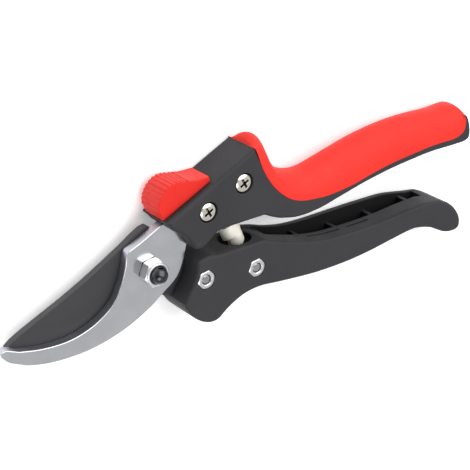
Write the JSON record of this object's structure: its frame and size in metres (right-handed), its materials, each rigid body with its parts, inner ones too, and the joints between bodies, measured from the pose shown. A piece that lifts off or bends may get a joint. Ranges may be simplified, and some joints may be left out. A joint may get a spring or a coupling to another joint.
{
  "type": "pruning shears",
  "caption": "Bypass pruning shears with hooked steel jaw, black coated blade, strip spring, sliding lock, soft upper grip and ribbed lower handle.",
  "frame": {"origin": "where the jaw pivot's axis meets the plane the shears lie on, the flat face of the pivot bolt's head", "axes": "+X from the jaws back to the handles' ends, +Y towards the soft upper handle, +Z along the pivot from bolt head to nut, away from the rest plane"},
  "size_m": [0.2229, 0.0813, 0.0207],
  "materials": {
    "handle_nylon": "fine-grained black moulding",
    "grip_rubber": "satin red soft grip",
    "jaw_steel": "satin ground steel",
    "nickel": "bright nickel",
    "slider_plastic": "satin red moulding",
    "plain_steel": "plain bright steel",
    "dark_steel": "blackened steel",
    "pivot_zinc": "zinc plated",
    "nylon_insert": "natural nylon",
    "blade_coating": "black non-stick coating on steel",
    "spring_nickel": "warm nickel strip"
  },
  "bodies": {
    "upper_half": {"upper_handle": "handle_nylon", "upper_grip": "grip_rubber", "hook_jaw": "jaw_steel", "upper_screw_front": "nickel", "upper_screw_rear": "nickel", "upper_nut_front": "nickel", "upper_nut_rear": "nickel", "detent_ball": "plain_steel", "detent_spring": "plain_steel", "pivot_bolt": "dark_steel", "pivot_washer": "plain_steel", "pivot_nut": "pivot_zinc", "pivot_nut_insert": "nylon_insert", "return_spring": "spring_nickel"},
    "lower_half": {"lower_handle": "handle_nylon", "cutting_blade": "blade_coating", "lower_bolt_front": "nickel", "lower_bolt_rear": "nickel", "lower_nut_front": "nickel", "lower_nut_rear": "nickel"},
    "lock": {"lock_slider": "slider_plastic", "lock_latch": "plain_steel"}
  },
  "joints": [
    {"name": "jaw_pivot", "type": "hinge", "parent": "upper_half", "child": "lower_half", "pos_m": [0, 0, 0], "axis": [0, 0, 1], "range_deg": [-30, 0], "deforming": ["return_spring"]},
    {"name": "lock_slide", "type": "slide", "parent": "upper_half", "child": "lock", "axis": [0.9563, 0.2924, 0], "range_m": [0, 0.008]}
  ]
}
